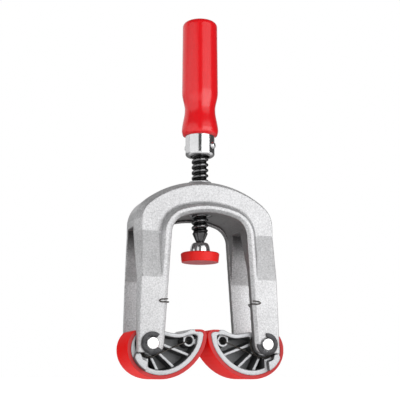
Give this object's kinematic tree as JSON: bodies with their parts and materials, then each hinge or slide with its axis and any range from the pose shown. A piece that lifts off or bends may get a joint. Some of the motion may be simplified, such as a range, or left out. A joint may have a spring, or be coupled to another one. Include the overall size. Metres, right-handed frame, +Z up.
{
  "type": "edge clamp",
  "caption": "Hand-held edge clamp: a cast U-frame whose screw presses a swivelling pad on a panel's edge while sprung, elastomer-faced eccentric cams grip its faces.",
  "frame": {"origin": "on the screw axis, at the level of the lowest point of the cam bands", "axes": "+X from the left leg to the right leg, +Y from the front to the back, +Z up along the screw towards the handle"},
  "size_m": [0.1102, 0.053, 0.2583],
  "materials": {
    "cast_aluminium": "fine blasted casting",
    "cam_aluminium": "as cast",
    "bright_steel": "bright zinc plated",
    "black_steel": "black oxide, oiled",
    "clip_steel": "dark phosphated",
    "spring_steel": "oiled wire",
    "seat_brass": "turned",
    "red_elastomer": "matt",
    "red_cap": "satin",
    "red_lacquer": "red gloss lacquer"
  },
  "bodies": {
    "frame": {"frame": "cast_aluminium", "threaded_bush": "bright_steel", "left_pivot_pin": "bright_steel", "right_pivot_pin": "bright_steel", "left_front_clip": "clip_steel", "left_rear_clip": "clip_steel", "right_front_clip": "clip_steel", "right_rear_clip": "clip_steel", "left_spring": "spring_steel", "right_spring": "spring_steel"},
    "seat": {"ball_seat": "seat_brass"},
    "screw": {"spindle": "black_steel", "handle": "red_lacquer", "ferrule": "bright_steel", "handle_pin": "bright_steel"},
    "pad": {"pressure_plate": "bright_steel", "pad_cap": "red_cap"},
    "left_cam": {"left_cam": "cam_aluminium", "left_cam_pad": "red_elastomer"},
    "right_cam": {"right_cam": "cam_aluminium", "right_cam_pad": "red_elastomer"}
  },
  "joints": [
    {"name": "spindle_feed", "type": "slide", "parent": "frame", "child": "seat", "axis": [0, 0, 1], "range_m": [-0.018, 0.018]},
    {"name": "spindle_turn", "type": "hinge", "parent": "seat", "child": "screw", "pos_m": [0, 0, 0.0903], "axis": [0, 0, 1], "range_deg": [-1621, 1621]},
    {"name": "pad_tilt", "type": "hinge", "parent": "seat", "child": "pad", "pos_m": [0, 0, 0.0903], "axis": [0, 1, 0], "range_deg": [-8, 8]},
    {"name": "left_cam_swing", "type": "hinge", "parent": "frame", "child": "left_cam", "pos_m": [-0.04, 0, 0.02328], "axis": [0, -1, 0], "range_deg": [0, 130], "stiffness_Nm_per_rad": 0.03, "springref_deg": -97.4, "deforming": ["left_spring"]},
    {"name": "right_cam_swing", "type": "hinge", "parent": "frame", "child": "right_cam", "pos_m": [0.04, 0, 0.02328], "axis": [0, 1, 0], "range_deg": [0, 130], "stiffness_Nm_per_rad": 0.03, "springref_deg": -97.4, "deforming": ["right_spring"]}
  ],
  "couplings": [
    {"joint": "spindle_turn", "follows": "spindle_feed", "rad_per_m": 1570.8}
  ]
}
